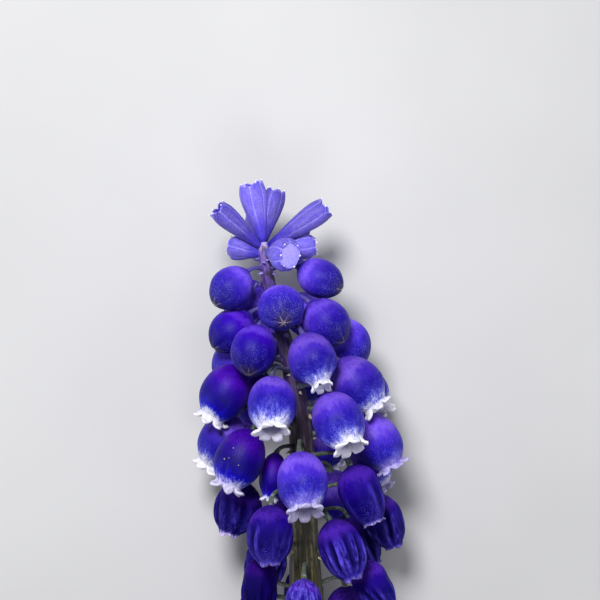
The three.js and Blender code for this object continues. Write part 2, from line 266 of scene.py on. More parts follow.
def pattern(kind):
    # one floret of length 1 and half width 1: a disc at the root, pulled out ring by ring
    selectOnly()
    mesh = bpy.ops.mesh
    sides, rings = forms[kind]
    rings = [(*ring, 0)[:3] for ring in rings]
    low, radius, _ = rings[0]
    mesh.primitive_circle_add(vertices=sides, radius=radius, fill_type="NGON", location=(0, 0, low))
    obj = bpy.context.object
    obj.name = kind + "Pattern"
    bpy.ops.object.mode_set(mode="EDIT")
    mesh.select_all(action="SELECT")
    mesh.flip_normals()
    mesh.inset(thickness=radius * 0.5)
    mesh.select_all(action="DESELECT")
    mesh.select_mode(type="EDGE")
    mesh.select_non_manifold()
    for (lowT, lowR, _), (t, r, _) in zip(rings, rings[1:]):
        mesh.extrude_edges_move(TRANSFORM_OT_translate={"value": (0, 0, t - lowT)})
        bpy.ops.transform.resize(value=(r / lowR, r / lowR, 1), center_override=(0, 0, t))
    mesh.edge_face_add()
    mesh.inset(thickness=rings[-1][1] * 0.5)
    mesh.select_all(action="SELECT")
    mesh.normals_make_consistent(inside=False)
    bpy.ops.object.mode_set(mode="OBJECT")
    ringMarks(obj, np.array(rings))
    smoothOnce(obj)
    return obj


def ringMarks(obj, rings):
    # writes on each point how far out on a lobe it is, and whether it is on the inner wall
    rim = int(np.argmax(rings[:, 0]))
    co = readPoints(obj)
    r = np.hypot(co[:, 0], co[:, 1])
    nearest = ((co[:, 2][:, None] - rings[:, 0]) ** 2 + (r[:, None] - rings[:, 1]) ** 2).argmin(1)
    writeMark(obj, "tooth", rings[nearest, 2])
    writeMark(obj, "inside", (nearest > rim).astype(float))


def bump(x, middle, width):
    return np.exp(-((x - middle) / width) ** 2)


def smooth(x, low, high):
    x = np.clip((x - low) / (high - low), 0, 1)
    return x * x * (3 - 2 * x)


def waves(theta, t, draw, count=5):
    # a soft uneven swell round a floret
    total = np.zeros_like(theta)
    for _ in range(count):
        turns, start, drift = draw.randint(1, 3), draw.uniform(0, 6.28), draw.uniform(-3, 3)
        total += draw.uniform(-1, 1) * np.cos(turns * theta + start + drift * t)
    return total / count


class Skin:
    # a floret's points as share of its length (t), share of its half width (r) and angle (theta)
    def __init__(self, source, f):
        co = readPoints(source)
        self.f, self.kind, self.halfWidth = f, f["kind"], f["width"] / 2
        self.t, self.along = co[:, 2], co[:, 2].copy()
        self.r, self.theta = np.hypot(co[:, 0], co[:, 1]), np.arctan2(co[:, 1], co[:, 0])
        self.tooth, self.inside = readMark(source, "tooth"), readMark(source, "inside")
        self.outer = 1 - self.inside
        self.crest = np.abs(np.cos(3 * self.theta))  # 1 along a lobe's middle, 0 between two lobes
        self.gap = 1 - self.crest
        self.marks = {"along": self.along}


# How the six lobes round a mouth grow. long: millimetres; leave and curl: degrees, outwards; notch: how far
# the gap between two lobes is cut back; thick: millimetres, at the foot and the tip; start: share of the
# length and of the half width where they leave the bell.
lobeWays = {
    "bell": {"long": (0.52, 0.8), "leave": -4, "curl": (55, 165), "notch": 0.68, "thick": (0.34, 0.25),
             "start": (0.868, 0.58)},
    "faded": {"long": (0.22, 0.5), "leave": -14, "curl": (-70, 120), "notch": 0.55, "thick": (0.17, 0.12),
              "start": (0.882, 0.49)},
    "sterile": {"long": (0.36, 0.5), "leave": -14, "curl": (-20, 16), "notch": 0.6, "thick": (0.17, 0.11),
                "start": (0.868, 0.92)},
}


def acrossLobe(theta):
    which = np.round(theta / (pi / 3)).astype(int)
    return which % 6, (theta - which * pi / 3) / (pi / 6)  # and -1 to 1 across the lobe


def growLobes(skin, draw):
    # bends the rings past the mouth into six lobes, each with its own length and curl
    look, tooth, inside = lobeWays[skin.kind], skin.tooth, skin.inside
    which, across = acrossLobe(skin.theta)
    edge = np.abs(across)
    reach = tooth * (1 - look["notch"] * edge ** 1.9 + 0.04 * bump(across, 0, 0.25))
    ahead, out, angle, lean = (np.zeros_like(tooth) for _ in range(4))
    s = np.linspace(0, 1.1, 30)
    for lobe in range(6):
        size = draw.uniform(*look["long"]) * skin.f.get("lobes", 1)
        bent = np.radians(look["leave"] + draw.uniform(*look["curl"]) * s ** 1.4)
        step = size * s[1]
        x, y = np.cumsum(np.cos(bent)) * step, np.cumsum(np.sin(bent)) * step
        mine = which == lobe
        for values, line in ((ahead, x - x[0]), (out, y - y[0]), (angle, bent)):
            values[mine] = np.interp(reach[mine], s, line)
        lean[mine] = draw.uniform(-1, 1)
    thick = np.interp(reach, (0, 1), look["thick"]) * (1 - 0.3 * edge ** 2)
    out -= 0.12 * size * tooth * edge ** 3  # the lobes' sides turn in a little, all six alike
    ahead += inside * np.sin(angle) * thick
    out -= inside * np.cos(angle) * thick
    share = smooth(tooth, 0, 0.14)
    skin.t = skin.t + (look["start"][0] + ahead / skin.f["length"] - skin.t) * share
    skin.r = skin.r + (look["start"][1] + out / skin.halfWidth - skin.r) * share
    skin.theta = skin.theta + 0.16 * lean * tooth ** 1.5 * (1 - edge ** 2)


def lantern(theta, t, draw, depth):
    # a faded floret's skin sinks a little between its six ribs, and more in a few narrow creases;
    # returns how far it falls, how deep in a crease it is, and how near a crease's edge
    theta = theta + draw.uniform(-0.3, 0.3) * (t - 0.5)
    theta = (theta + 0.07 * np.sin(draw.uniform(4, 7) * t + draw.uniform(0, 6))) % (2 * pi)
    ribs = np.sort([k * pi / 3 + draw.uniform(-0.14, 0.14) for k in range(6)])
    k = np.searchsorted(ribs, theta) % 6
    high = np.where(theta > ribs[-1], ribs[0] + 2 * pi, ribs[k])
    low = np.where(theta < ribs[0], ribs[-1] - 2 * pi, ribs[(k - 1) % 6])
    across = 2 * (theta - low) / (high - low) - 1
    amount = np.array([draw.uniform(0.3, 1) for _ in range(6)])[k]
    start = np.array([draw.uniform(0.08, 0.3) for _ in range(6)])[k]
    fall = depth * 0.5 * amount * (1 - np.abs(across) ** 2.2) * smooth(t - start, 0, 0.32)
    crease, lip = np.zeros_like(t), np.zeros_like(t)
    for i in range(12):
        at = (i + draw.uniform(-0.4, 0.4)) * pi / 6
        wide, begins = draw.uniform(0.1, 0.19), draw.uniform(0.12, 0.4)
        apart = (theta - at + draw.uniform(-0.25, 0.25) * (t - 0.6) + pi) % (2 * pi) - pi
        strong = max(0, draw.uniform(-0.4, 1.15)) * smooth(t, begins, begins + 0.22)
        crease = np.maximum(crease, strong * bump(apart, 0, wide))
        lip = np.maximum(lip, strong * bump(np.abs(apart), 2.1 * wide, wide))
    lip *= 1 - crease
    fall += depth * (0.9 * crease - 0.3 * lip)
    return fall * (1 - 0.3 * smooth(t, 0.82, 0.97)), crease, lip


# How each kind's skin is shaped. Depths are shares of the half width; squeeze: how far from round it is
# pressed; swell: its soft unevenness.
skinWays = {
    "bud": {"egg": 0.085, "groove": 0.09, "seam": 0.022, "dip": 0.02, "squeeze": 0.02, "swell": 0.02},
    "bell": {"furrow": 0.06, "seam": 0.018, "squeeze": 0.03, "swell": 0.02},
    "faded": {"sink": 0.1, "sinkMore": 0.26, "twist": 0.35, "squeeze": 0.07, "swell": 0.05},
    "sterile": {"seam": 0.055, "squeeze": 0.08, "swell": 0.03},
}


def shapeBud(skin, draw):
    way, along = skinWays["bud"], skin.along
    skin.r *= 1 - way["egg"] * smooth(along, 0.5, 0.95)
    groove = smooth(along, 0.64, 0.9) * skin.gap ** 3
    skin.r -= way["groove"] * groove * skin.r
    skin.t -= way["dip"] * smooth(along, 0.86, 1) * skin.gap ** 3
    skin.r -= way["seam"] * smooth(along, 0.2, 0.8) * skin.gap ** 2
    skin.t -= way["dip"] * bump(skin.r, 0, 0.12)
    return groove * 0.4


def shapeBell(skin, draw):
    way, narrow = skinWays["bell"], skin.f.get("narrow", 0)
    skin.r *= 1 - narrow * smooth(skin.along, 0.6, 0.88)
    growLobes(skin, draw)
    skin.r = np.where(skin.tooth > 0, skin.r * (1 - narrow), skin.r)
    deep = np.array([draw.uniform(0.05, 1) ** 2 for _ in range(6)])
    deep = deep[np.floor(skin.theta / (pi / 3)).astype(int) % 6]
    furrow = bump(skin.along, 0.71, 0.13) * skin.gap ** 3 * np.clip(deep + skin.f.get("furrows", 0), 0, 1.2)
    skin.r -= way["furrow"] * furrow * skin.outer
    skin.r -= way["seam"] * smooth(skin.along, 0.25, 0.8) * skin.gap ** 1.5 * skin.outer
    return furrow


def shapeFaded(skin, draw):
    way, faded = skinWays["faded"], skin.f["faded"]
    depth = way["sink"] + way["sinkMore"] * faded
    fall, crease, lip = lantern(skin.theta, skin.along, draw, depth)
    shown = min(1, 0.2 + 1.3 * faded)
    skin.r *= 1 - fall * skin.outer
    growLobes(skin, draw)
    skin.theta = skin.theta + way["twist"] * (skin.along - 0.5) * draw.uniform(-1, 1)
    skin.marks["lip"] = lip * shown
    return 0.3 * fall / depth + 0.95 * (crease * shown)


def shapeSterile(skin, draw):
    way, along, closed = skinWays["sterile"], skin.along, skin.f.get("closed", 0)
    growLobes(skin, draw)
    skin.r *= 1 - closed * smooth(along, 0.76, 0.9)
    ridge = skin.gap ** 2 * smooth(along, 0.2, 0.6) * (1 - smooth(along, 0.8, 0.92))
    skin.r -= way["seam"] * ridge * skin.outer
    if closed:  # a mouth that hasn't opened yet
        skin.t = np.where((skin.inside > 0.5) & (along < 0.88), 0.9 - 0.03 * skin.r, skin.t)
    return ridge


shapers = {"bud": shapeBud, "bell": shapeBell, "faded": shapeFaded, "sterile": shapeSterile}


def shapeFloret(skin, draw):
    # one floret's own shape, still with length 1 and half width 1; its marks are for its colour
    # how deep each point lies in a fold or crease; the petals are darkened there as painted shade
    skin.marks["fold"] = np.clip(shapers[skin.kind](skin, draw), 0, 1)
    skin.marks["seam"] = skin.r * skin.halfWidth * (skin.crest / 3)  # millimetres from a seam between lobes
    way = skinWays[skin.kind]
    oval = np.cos(2 * (skin.theta - draw.uniform(0, 3.14)))
    skin.r *= 1 + way["squeeze"] * oval * smooth(skin.t, 0.1, 0.6)
    skin.r *= 1 + way["swell"] * waves(skin.theta, skin.t, draw)
    swing, towards = draw.uniform(0, 0.05), draw.uniform(0, 6.28)
    x = skin.r * np.cos(skin.theta) + swing * cos(towards) * skin.t * skin.t
    y = skin.r * np.sin(skin.theta) + swing * sin(towards) * skin.t * skin.t
    for mark, value in (("late", draw.uniform(-0.02, 0.02)), ("tone", draw.uniform(-1, 1)), ("white", 1)):
        skin.marks[mark] = np.full(len(x), skin.f.get(mark, value))
    return np.stack([x, y, skin.t], 1)


def copyTo(source, name, points):
    obj = source.copy()
    obj.data = source.data.copy()
    obj.name = obj.data.name = name
    bpy.context.collection.objects.link(obj)
    writePoints(obj, toFrame(points))
    return obj


def dress(obj, material, node):
    obj.data.materials.clear()
    obj.data.materials.append(material)
    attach(obj, "root")
    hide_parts(node)


def buildFloret(name, source, f):
    # returns the floret's object; its points in stalk measures and its moved root go into f
    skin = Skin(source, f)
    local = shapeFloret(skin, random.Random(f["seed"])) * (skin.halfWidth, skin.halfWidth, f["length"])
    turned = local @ np.array(f["turned"]).T
    lift = max(0, -flower["flatSpot"] - (turned[:, 2].min() + f["root"].z))
    f["root"] = f["root"] + Vector((0, 0, lift))
    f["placed"] = turned + np.array(f["root"])
    f["placed"][:, 2] = np.maximum(f["placed"][:, 2], flower["floorGap"])  # pressed flat on the surface
    obj = copyTo(source, name, f["placed"])
    for mark, values in skin.marks.items():
        writeMark(obj, mark, values)
    writeMark(obj, "grain", local + (0, 0, 7 * f["n"]))
    return obj


def lobeTips(source, placed):
    # the outermost point of each of the six lobes
    start, tooth, inside = readPoints(source), readMark(source, "tooth"), readMark(source, "inside")
    which, across = acrossLobe(np.arctan2(start[:, 1], start[:, 0]))
    outmost = tooth - np.abs(across) - 3 * inside
    return [placed[np.argmax(outmost - 9 * (which != lobe))] for lobe in range(6)]


def tubeAlong(name, runs, roundness):
    # runs: lists of (point in millimetres, radius in millimetres)
    selectOnly()
    bpy.ops.curve.primitive_bezier_curve_add(location=(0, 0, 0))
    obj = bpy.context.object
    obj.name = name
    curve = obj.data
    curve.splines.clear()
    curve.dimensions = "3D"
    curve.bevel_depth = mm
    curve.bevel_resolution = roundness
    curve.use_fill_caps = True
    for run in runs:
        spline = curve.splines.new("POLY")
        spline.points.add(len(run) - 1)
        for point, (at, radius) in zip(spline.points, run):
            point.co = (*toFrame(at), 1)
            point.radius = radius
    bpy.ops.object.convert(target="MESH")
    obj = bpy.context.object
    obj.name = obj.data.name = name
    bpy.ops.object.shade_smooth()
    return obj


def srgb(r, g, b):
    linear = ((c / 255 / 12.92) if c <= 10.3 else ((c / 255 + 0.055) / 1.055) ** 2.4 for c in (r, g, b))
    return (*linear, 1)


class Shader:
    # a material and short ways to add nodes to it; colours are given as red, green and blue up to 255
    sockets = {
        "specular": "Specular IOR Level", "sheen": "Sheen Weight", "sheenTint": "Sheen Tint",
        "glow": "Subsurface Weight", "glowDepth": "Subsurface Radius", "glowScale": "Subsurface Scale"}

    def __init__(self, name, **settings):
        self.material = bpy.data.materials.new(name)
        self.material.use_nodes = True
        self.tree = self.material.node_tree
        self.surface = self.tree.nodes["Principled BSDF"]
        for key, value in settings.items():
            self.surface.inputs[self.sockets[key]].default_value = value

    def node(self, kind, inputs=(), **settings):
        made = self.tree.nodes.new(kind)
        for key, value in settings.items():
            setattr(made, key, value)
        for key, value in dict(inputs).items():
            self.feed(made.inputs[key], value)
        return made

    def feed(self, socket, value):
        if isinstance(value, bpy.types.NodeSocket):
            self.tree.links.new(value, socket)
        else:
            socket.default_value = value

    def mark(self, name, vector=False):
        made = self.node("ShaderNodeAttribute", attribute_name=name)
        return made.outputs["Vector" if vector else "Fac"]

    def math(self, operation, a, b):
        return self.node("ShaderNodeMath", {0: a, 1: b}, operation=operation).outputs[0]

    def times(self, a, b):
        return self.math("MULTIPLY", a, b)

    def plus(self, a, b):
        return self.math("ADD", a, b)

    def sway(self, noise, amount):
        # pushes either way round nothing, by a share of a noise
        return self.times(self.math("SUBTRACT", noise, 0.5), amount)

    def range(self, value, low, high, toLow=0, toHigh=1):
        ends = {"From Min": low, "From Max": high, "To Min": toLow, "To Max": toHigh}
        made = self.node("ShaderNodeMapRange", {"Value": value, **ends}, interpolation_type="SMOOTHSTEP")
        return made.outputs["Result"]

    def stretch(self, vector, scale):
        return self.node("ShaderNodeMapping", {"Vector": vector, "Scale": scale}).outputs["Vector"]

    def noise(self, vector, scale, detail=3, roughness=0.5):
        settings = {"Vector": vector, "Scale": scale, "Detail": detail, "Roughness": roughness}
        return self.node("ShaderNodeTexNoise", settings).outputs["Fac"]

    def cells(self, vector, scale):
        return self.node("ShaderNodeTexVoronoi", {"Vector": vector, "Scale": scale}).outputs["Distance"]

    def height(self, vector):
        return self.node("ShaderNodeSeparateXYZ", {0: vector}).outputs["Y"]

    def ramp(self, value, stops):
        made = self.node("ShaderNodeValToRGB", {"Fac": value})
        made.color_ramp.interpolation = "EASE"
        while len(made.color_ramp.elements) < len(stops):
            made.color_ramp.elements.new(0.5)
        for element, (place, colour) in zip(made.color_ramp.elements, stops):
            element.position = place
            element.color = srgb(*colour)
        return made.outputs["Color"]

    def mix(self, factor, a, b):
        made = self.node("ShaderNodeMix", data_type="RGBA")
        for key, value in (("Factor_Float", factor), ("A_Color", a), ("B_Color", b)):
            socket = next(s for s in made.inputs if s.identifier == key)
            self.feed(socket, srgb(*value) if isinstance(value, tuple) else value)
        return next(s for s in made.outputs if s.identifier == "Result_Color")

    def finish(self, colour, rough, height, depth, strength):
        # depth: of the bump, in millimetres
        self.feed(self.surface.inputs["Base Color"], colour)
        self.feed(self.surface.inputs["Roughness"], rough)
        made = self.node("ShaderNodeBump", {"Height": height, "Distance": depth * mm, "Strength": strength})
        self.feed(self.surface.inputs["Normal"], made.outputs["Normal"])
        return self.material


# The petals' colours. ramp: from the root to the rim; dots: frosty ones, from where to where they thicken;
# the
# crease colour and its strength: painted shade in the folds and creases; mouth: inside; at the rim: how much
# of the tone, partly painted shade, still shows.
anyPetal = {"folds": (26, 12, 140), "foldStrength": 0.85, "specular": 0.12, "sheen": 0.03,
            "rough": (0.42, 0.56), "rimToneAndShade": 0.14, "grainy": 0.9, "streaky": 0.6,
            "sheenTint": (0.45, 0.5, 1, 1), "glow": 0.1, "glowDepth": (0.25, 0.2, 0.45), "glowScale": mm}
# In the bud, bell and faded ramps the lighter violet band near the root is partly painted highlight, and the
# deep blue middle band partly painted shade.
petals = {
    "bud": {
        "ramp": (
            (0, (62, 34, 168)), (0.25, (114, 82, 226)), (0.43, (68, 42, 186)), (0.62, (40, 20, 156)),
            (0.84, (30, 20, 126)), (1, (42, 36, 84))),
        "dotsFrom": (0.36, 0.7), "dots": (124, 126, 222), "dotStrength": 0.62,
        "tip": (40, 32, 74), "star": (150, 138, 128),
    },
    "bell": {
        "ramp": (
            (0, (84, 52, 184)), (0.22, (108, 76, 204)), (0.38, (60, 33, 178)), (0.54, (30, 12, 148)),
            (0.65, (38, 28, 162)), (0.74, (80, 80, 190)), (0.8, (140, 142, 208)), (0.865, (202, 202, 220)),
            (1, (226, 224, 232))),
        "dotsFrom": (0.34, 0.66), "dots": (136, 140, 236), "dotStrength": 0.36,
        "mouth": (226, 224, 244), "agedRim": (132, 112, 196), "rimToneAndShade": 0.03,
    },
    "faded": {
        "ramp": (
            (0, (42, 18, 112)), (0.2, (60, 26, 144)), (0.34, (24, 2, 114)), (0.6, (8, 0, 88)),
            (0.85, (16, 5, 96)), (1, (88, 78, 164))),
        "dotsFrom": (0.45, 0.88), "dots": (92, 92, 206), "dotStrength": 0.85,
        # the crease colour: painted shade
        "folds": (4, 0, 60), "foldStrength": 0.95, "mouth": (52, 38, 142), "agedRim": (44, 32, 136),
        # the colour of the painted highlight on the lips beside the creases
        "lipHighlight": (92, 74, 212), "paleStreak": (98, 88, 196), "whiteLeft": (186, 172, 216),
        "specular": 0.05, "sheen": 0, "rough": (0.55, 0.7), "streaky": 1.3,  # wilted skin is dull
    },
    "sterile": {
        "ramp": (
            (0, (32, 24, 146)), (0.2, (68, 56, 168)), (0.5, (106, 94, 186)), (0.75, (104, 92, 188)),
            (0.92, (86, 76, 178)), (1, (140, 134, 216))),
        "dotsFrom": (0.3, 0.7), "dots": (176, 166, 248), "dotStrength": 0.4,
        # the tuft's dark mouth colour is painted shade inside the tubes; paleMouth is the inside's own
        # colour, shown on the one mouth that opens upwards
        "folds": (80, 66, 204), "foldStrength": 0.3, "mouth": (70, 60, 190), "paleMouth": (152, 142, 236),
        # seam: the pale line down each seam, partly painted highlight
        "line": (84, 66, 206), "seam": (164, 156, 242), "sheen": 0.14, "grainy": 1,
    },
}


def budStar(s, look, colour):
    # a dark tip, and thin pale rays along the seams
    tip = s.plus(s.plus(s.along, s.sway(s.streak, 0.16)), s.sway(s.noise(s.grain, 1.7, 2), 0.16))
    colour = s.mix(s.times(s.range(s.along, 0.91, 0.98), 0.5), colour, look["tip"])
    ray = s.times(s.range(s.mark("seam"), 0.08, 0.02), s.range(tip, 0.895, 0.985))
    return s.mix(s.times(ray, 0.8), colour, look["star"])


def paintedLipHighlights(s, look, colour):
    # a painted highlight on the raised lips beside the creases
    edge = s.times(s.mark("lip"), s.range(s.along, 0.2, 0.5))
    return s.mix(s.times(edge, s.range(s.streak, 0.36, 0.6, 0, 0.95)), colour, look["lipHighlight"])


def tuftLines(s, look, colour):
    # fine darker lines, and a pale one down each seam, partly painted highlight
    lines = s.range(s.noise(s.stretch(s.grain, (5, 5, 0.4)), 1), 0.5, 0.64)
    colour = s.mix(s.times(lines, 0.5), colour, look["line"])
    edge = s.times(s.range(s.mark("seam"), 0.1, 0.02), s.range(s.along, 0.2, 0.5, 0, 0.6))
    return s.mix(s.times(edge, s.range(s.dust, 0.36, 0.6, 0.35, 1)), colour, look["seam"])


def mouthColour(s, look, colour):
    # the inside, and the rim's white going with age
    white = s.mark("white")
    # in the tuft the white mark picks the pale inside for the one mouth that opens upwards; the dark inside
    # of the others is painted shade
    mouth = s.mix(white, look["mouth"], look["paleMouth"]) if "paleMouth" in look else look["mouth"]
    colour = s.mix(s.times(s.mark("inside"), s.range(s.along, 1, 0.93)), colour, mouth)
    if "agedRim" in look:
        aged = s.times(s.range(s.along, 0.7, 0.88), s.math("SUBTRACT", 1, white))
        colour = s.mix(s.times(aged, 0.85), colour, look["agedRim"])
    if "whiteLeft" in look:  # a few stay paler, and keep some white at the rim
        pale = s.times(s.range(white, 1, 1.6), s.range(s.streak, 0.42, 0.66, 0, 0.6))
        colour = s.mix(s.times(pale, s.range(s.fold, 0.5, 0.1)), colour, look["paleStreak"])
        left = s.times(s.range(s.along, 0.88, 0.97), s.times(white, s.range(s.streak, 0.35, 0.6)))
        colour = s.mix(left, colour, look["whiteLeft"])
    return colour


def petalMaterial(kind):
    look = {**anyPetal, **petals[kind]}
    s = Shader(kind + "Petal", **{key: look[key] for key in Shader.sockets})
    s.grain, s.along, s.tone, s.fold = s.mark("grain", True), s.mark("along"), s.mark("tone"), s.mark("fold")
    s.streak = s.noise(s.stretch(s.grain, (4, 4, 0.7)), 1, 4, 0.65)
    s.dust = s.noise(s.stretch(s.grain, (9, 9, 4.5)), 1, 3, 0.7)
    # the ramp, its bands frayed by streaks, blotches and dust
    place = s.plus(s.plus(s.along, s.sway(s.streak, 0.32)), s.sway(s.noise(s.grain, 0.6, 2), 0.3))
    place = s.plus(place, s.times(s.sway(s.dust, 0.2), s.range(s.along, 0.35, 0.65)))
    colour = s.ramp(s.math("SUBTRACT", place, s.mark("late")), look["ramp"])
    # frosty dots, thick towards the mouth; the palest florets are the frostiest
    dots = s.times(s.range(s.cells(s.grain, 9.5), 0.38, 0.16), s.range(s.noise(s.grain, 1.3), 0.36, 0.58))
    where = s.range(s.along, *look["dotsFrom"])
    if kind == "bell":
        where = s.times(where, s.range(s.along, 0.9, 0.78))  # none on the white rim
    where = s.times(where, s.range(s.tone, 0.8, 2, 1, 1.6))
    colour = s.mix(s.times(dots, s.times(where, look["dotStrength"])), colour, look["dots"])
    if kind == "bud":
        colour = budStar(s, look, colour)
    if kind == "faded":
        # painted highlight on the creases' lips
        colour = paintedLipHighlights(s, look, colour)
    # painted shade in the folds and creases
    colour = s.mix(s.times(s.fold, look["foldStrength"]), colour, look["folds"])
    if kind == "sterile":
        colour = tuftLines(s, look, colour)
    if kind != "bud":
        colour = mouthColour(s, look, colour)
    # grain and streaks in the brightness; the floret's tone, partly its own and partly painted shade, which
    # also makes the darkest more saturated, as painted shade
    granular = s.sway(s.noise(s.grain, 5.5, 3, 0.7), look["grainy"])
    granular = s.plus(granular, s.sway(s.streak, look["streaky"]))
    depth = s.times(s.tone, s.range(s.along, 0.56, 0.86, 0.14, look["rimToneAndShade"]))
    shade = s.node("ShaderNodeHueSaturation", {
        "Color": colour, "Value": s.plus(s.plus(1, depth), granular),
        "Saturation": s.range(s.tone, -4, -1.2, 1.28, 1)})
    fine = s.noise(s.grain, 9, 3, 0.6)
    bumps = s.plus(s.times(s.streak, 0.9), s.times(fine, 0.5))
    return s.finish(shade.outputs["Color"], s.range(fine, 0.3, 0.7, *look["rough"]), bumps, 0.05, 0.5)


stalk = {
    "step": 0.3, "roundness": 22, "seed": 5,
    "ridges": 0.035, "ridgeCounts": (5, 7, 11, 16),  # depth of the lengthwise ridges, and how many
    "waver": 0.05, "waverTurns": ((1, 0.35), (2, 0.22), (3, -0.5), (0, 0.6)),
    "cutTaper": 0.93, "tipTaper": 0.7,
    "ramp": (
        (0, (98, 112, 62)), (0.4, (92, 98, 54)), (0.6, (54, 52, 32)), (0.7, (46, 42, 34)),
        (0.78, (48, 34, 46)), (0.9, (52, 26, 92)), (0.96, (62, 32, 118)), (0.985, (110, 84, 168)),
        (1, (170, 156, 200))),
    "paleLow": (124, 116, 72), "paleHigh": (104, 78, 150), "darkMottle": (30, 22, 26), "pore": (56, 50, 34),
    "cut": (176, 190, 128), "fibre": (132, 152, 84),
}


def stalkMaterial():
    s = Shader("greenStalk", specular=0.35, glow=0.08, glowDepth=(0.5, 0.5, 0.2), glowScale=mm)
    grain, along = s.mark("grain", True), s.mark("along")
    lines = s.noise(s.stretch(grain, (4, 4, 0.22)), 1, 5, 0.62)
    mottle = s.noise(s.stretch(grain, (1.6, 1.6, 0.7)), 1, 4, 0.6)
    pale = s.mix(s.range(along, 0.7, 0.85), stalk["paleLow"], stalk["paleHigh"])
    colour = s.mix(s.range(lines, 0.45, 0.68, 0, 0.75), s.ramp(along, stalk["ramp"]), pale)
    # darker mottling, strongest where the stalk runs under the florets, where the ramp is darkest too
    mottledDark = s.times(s.range(mottle, 0.48, 0.66), s.range(along, 0.42, 0.6, 0.22, 0.9))
    colour = s.mix(mottledDark, colour, stalk["darkMottle"])
    pores = s.range(s.cells(s.stretch(grain, (1, 1, 0.5)), 5), 0.3, 0.12)
    colour = s.mix(s.times(pores, 0.3), colour, stalk["pore"])
    fibres = s.range(s.cells(grain, 3.2), 0.35, 0.15)
    colour = s.mix(s.mark("cut"), colour, s.mix(fibres, stalk["cut"], stalk["fibre"]))
    bumps = s.plus(lines, s.times(s.noise(grain, 6), 0.3))
    return s.finish(colour, s.range(mottle, 0.3, 0.7, 0.42, 0.6), bumps, 0.12, 0.6)


def buildStalk():
    low, high = flower["stalkLine"][0][1], flower["stalkLine"][-1][1]
    run = [(stalkAt(y), stalkRadius(y)) for y in np.arange(low, high + 1e-6, stalk["step"])]
    run[0] = (run[0][0], run[0][1] * stalk["cutTaper"])  # the cut edge is a little rounded
    run[-1] = (run[-1][0], run[-1][1] * stalk["tipTaper"])
    obj = tubeAlong("flowerStalk", [run], stalk["roundness"])
    co = readPoints(obj) / mm + (*flower["middle"], 0)
    y = co[:, 1]
    centre = stalkCentre(y)
    out = co - centre
    theta, reach = np.arctan2(out[:, 0], out[:, 2]), np.hypot(out[:, 0], out[:, 2])
    draw = random.Random(stalk["seed"])
    ridges = sum(draw.uniform(0.4, 1) * np.cos(k * theta + draw.uniform(0, 6.3) + 0.02 * k * y)
                 for k in stalk["ridgeCounts"])
    waver = sum(np.cos(k * theta + draw.uniform(0, 6.3) + w * y) for k, w in stalk["waverTurns"])
    scale = 1 + (stalk["ridges"] * ridges / 2 + stalk["waver"] * waver / 4) * smooth(reach, 0.2, 0.6)
    moved = centre + out * scale[:, None]
    moved[:, 2] = np.maximum(moved[:, 2], flower["floorGap"])
    writePoints(obj, toFrame(moved))
    writeMark(obj, "along", (y - low) / (high - low))
    writeMark(obj, "grain", np.stack([out[:, 0], out[:, 2], y], 1))
    writeMark(obj, "cut", smooth(-(y - low), -0.12, -0.02))
    dress(obj, stalkMaterial(), "scape")


floretStalks = {
    "rise": 0.4, "highest": 29.8,  # how far over its floret a floret stalk leaves the stalk, and at most
    "sunk": 0.35, "radius": (0.36, 0.2, 0.175, 0.19, 0.31), "steps": 14, "roundness": 4,
    "green": (70, 78, 66), "bluish": (90, 106, 152),  # of the floret stalks, and of the spur
    # line and paleViolet: pale blotches, partly painted highlight
    "line": (136, 154, 158), "violet": (48, 38, 112), "paleViolet": (96, 84, 176),
    "violetFrom": (23, 31),  # among the buds
}


def floretStalkMaterial():
    s = Shader("floretStalk", specular=0.35)
    grain = s.mark("grain", True)
    lines = s.noise(s.stretch(grain, (3, 3, 3)), 1, 4, 0.6)
    base = s.mix(s.mark("bluish"), floretStalks["green"], floretStalks["bluish"])
    # pale blotches, green and violet, partly painted highlight
    colour = s.mix(s.range(lines, 0.45, 0.7, 0, 0.6), base, floretStalks["line"])
    violet = s.mix(lines, floretStalks["violet"], floretStalks["paleViolet"])
    colour = s.mix(s.range(s.height(grain), *floretStalks["violetFrom"], 0, 0.85), colour, violet)
    return s.finish(colour, s.range(lines, 0.3, 0.7, 0.45, 0.6), lines, 0.05, 0.5)


def floretStalkFoot(f):
    return min(f["root"].y + floretStalks["rise"], floretStalks["highest"])


def dressStalks(obj, look, bluish):
    co = readPoints(obj) / mm
    writeMark(obj, "bluish", np.full(len(co), bluish))
    writeMark(obj, "grain", co)
    dress(obj, look, "raceme")


def buildFloretStalks(places, look):
    runs = []
    ts = np.linspace(0, 1, floretStalks["steps"])
    for f in places:
        end, foot = f["root"] + f["axis"] * floretStalks["sunk"], stalkAt(floretStalkFoot(f))
        span = (foot - end).length
        away = Vector((end.x - foot.x, 0.1 * span, end.z - foot.z)).normalized()
        c1, c2 = foot + away * 0.45 * span, end - f["axis"] * 0.4 * span
        line = [foot * (1 - t) ** 3 + c1 * 3 * t * (1 - t) ** 2 + c2 * 3 * t * t * (1 - t) + end * t ** 3
                for t in ts]
        radii = np.interp(ts, np.linspace(0, 1, 5), floretStalks["radius"])
        runs.append([(at, float(radius)) for at, radius in zip(line, radii)])
    dressStalks(tubeAlong("floretStalks", runs, floretStalks["roundness"]), look, 0)


